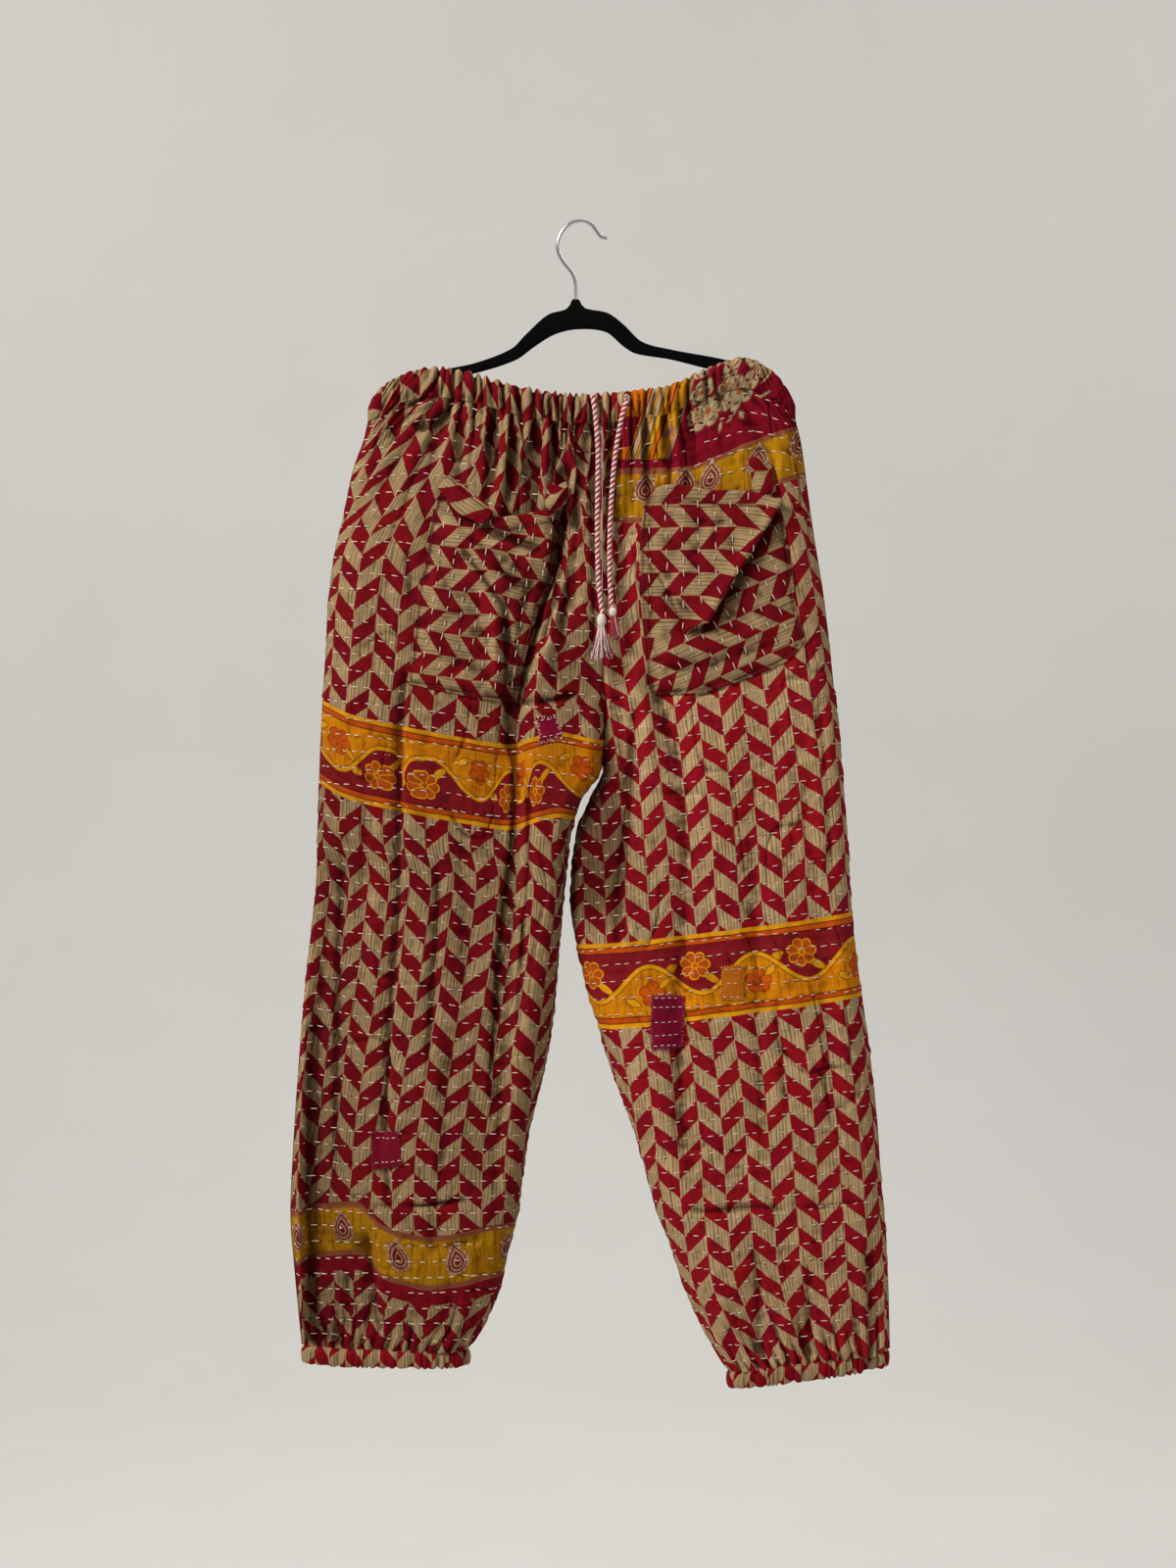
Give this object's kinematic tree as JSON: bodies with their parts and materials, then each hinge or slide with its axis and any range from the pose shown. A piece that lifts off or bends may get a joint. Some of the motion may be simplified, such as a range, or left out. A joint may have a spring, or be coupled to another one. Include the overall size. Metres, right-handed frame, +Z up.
{
  "type": "joggers on a clothes hanger",
  "caption": "Loose gathered cotton joggers with a drawstring waist, patch pockets and gathered cuffs, hung from a thin clothes hanger by its wire hook.",
  "frame": {"origin": "the inside of the crown of the hanger's hook, where a rail or a wall hook holds it", "axes": "+Z up along the hang, +X towards the wearer's left leg, -Y out of the front of the garment"},
  "size_m": [0.5959, 0.089, 1.1612],
  "materials": {
    "quilted_cotton": "soft printed plain-weave cotton, hand quilted, red and beige chevrons with golden borders",
    "pocket_cotton": "the same printed cotton turned a quarter",
    "patch_cotton": "plain magenta-red cotton, frayed edges",
    "patch_cotton_orange": "plain orange cotton",
    "cord_cotton": "twisted red and white cotton cord",
    "tassel_cotton": "loose cotton threads",
    "velvet": "black flocked velvet over plastic",
    "hook_chrome": "bright plated wire"
  },
  "bodies": {
    "root": {"front_right_leg": "quilted_cotton", "front_left_leg": "quilted_cotton", "back_right_leg": "quilted_cotton", "back_left_leg": "quilted_cotton", "waist_casing_front": "quilted_cotton", "waist_casing_back": "quilted_cotton", "cuff_right": "quilted_cotton", "cuff_left": "quilted_cotton", "pocket_right": "pocket_cotton", "pocket_left": "pocket_cotton", "patch_hip_right": "patch_cotton", "patch_shin_right": "patch_cotton", "patch_knee_left": "patch_cotton", "patch_knee_left_small": "patch_cotton_orange", "drawstring_right": "cord_cotton", "drawstring_left": "cord_cotton", "tassel_right": "tassel_cotton", "tassel_left": "tassel_cotton", "hanger_body": "velvet", "hanger_hook": "hook_chrome"}
  },
  "joints": []
}
